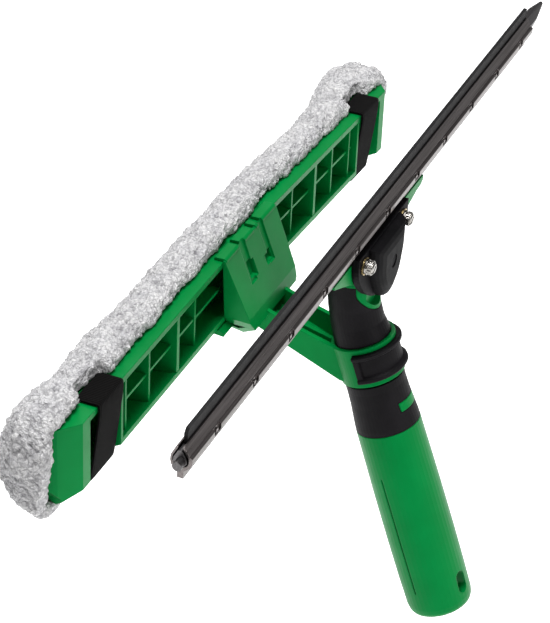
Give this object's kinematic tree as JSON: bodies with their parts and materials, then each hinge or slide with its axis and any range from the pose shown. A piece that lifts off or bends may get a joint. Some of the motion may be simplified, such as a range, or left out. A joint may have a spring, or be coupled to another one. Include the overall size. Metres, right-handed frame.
{
  "type": "window cleaning squeegee",
  "caption": "Hand-held window squeegee: a rubber blade in a steel channel clamped to a plastic handle, with a fleece washer bar behind it and straps that hold the sleeve.",
  "frame": {"origin": "centre of the flat floor of the pole socket inside the grip", "axes": "+X along the squeegee blade towards the pointed end clip, +Y from the blade to the washer bar behind it, +Z along the blade's plane towards its wiping edge; the grip leans 19.5 degrees from -Z towards -Y"},
  "size_m": [0.4762, 0.1681, 0.2438],
  "materials": {
    "green_plastic": "satin",
    "soft_black": "satin",
    "hard_black": "satin",
    "brass_washer": "polished",
    "chrome_screw": "polished",
    "steel_nut": "brushed",
    "stainless_channel": "brushed",
    "stainless_clip": "satin",
    "blade_rubber": "matte",
    "strap_rubber": "matte",
    "fleece": "matte",
    "webbing": "matte"
  },
  "bodies": {
    "handle": {"handle_body": "green_plastic", "neck_overmould": "soft_black", "waist_overmould": "soft_black", "waist_inlay": "green_plastic", "clamp_nut_left": "steel_nut", "clamp_nut_right": "steel_nut", "washer_bar": "green_plastic", "bar_bracket": "green_plastic", "retaining_strap": "strap_rubber", "fleece_sleeve": "fleece", "strap_anchor_left": "webbing", "strap_anchor_right": "webbing"},
    "clamp": {"clamp_plate": "hard_black", "clamp_washer_left": "brass_washer", "clamp_washer_right": "brass_washer"},
    "screw_left": {"clamp_screw_left": "chrome_screw"},
    "screw_right": {"clamp_screw_right": "chrome_screw"},
    "blade": {"channel": "stainless_channel", "rubber_blade": "blade_rubber"},
    "clip_round": {"end_clip_round": "stainless_clip"},
    "clip_pointed": {"end_clip_pointed": "stainless_clip"},
    "flap_left": {"strap_flap_left": "webbing"},
    "flap_right": {"strap_flap_right": "webbing"}
  },
  "joints": [
    {"name": "screw_left_turn", "type": "hinge", "parent": "clamp", "child": "screw_left", "pos_m": [-0.0255, 0.01454, 0.12405], "axis": [0, -1, 0], "range_deg": [0, 1080]},
    {"name": "screw_right_turn", "type": "hinge", "parent": "clamp", "child": "screw_right", "pos_m": [0.0255, 0.01454, 0.12405], "axis": [0, -1, 0], "range_deg": [0, 1080]},
    {"name": "clamp_open", "type": "slide", "parent": "handle", "child": "clamp", "axis": [0, -1, 0], "range_m": [0, 0.0024]},
    {"name": "channel_slide", "type": "slide", "parent": "handle", "child": "blade", "axis": [1, 0, 0], "range_m": [-0.16, 0.16]},
    {"name": "clip_round_pull", "type": "slide", "parent": "blade", "child": "clip_round", "axis": [-1, 0, 0], "range_m": [0, 0.02]},
    {"name": "clip_pointed_pull", "type": "slide", "parent": "blade", "child": "clip_pointed", "axis": [1, 0, 0], "range_m": [0, 0.02]},
    {"name": "flap_left_open", "type": "hinge", "parent": "handle", "child": "flap_left", "pos_m": [-0.1595, 0.08564, 0.1115], "axis": [-1, 0, 0], "range_deg": [0, 110]},
    {"name": "flap_right_open", "type": "hinge", "parent": "handle", "child": "flap_right", "pos_m": [0.1595, 0.08564, 0.10269], "axis": [-0.9977, 0, 0.0678], "range_deg": [0, 110]}
  ],
  "couplings": [
    {"joint": "screw_left_turn", "follows": "clamp_open", "rad_per_m": 7854},
    {"joint": "screw_right_turn", "follows": "clamp_open", "rad_per_m": 7854}
  ]
}
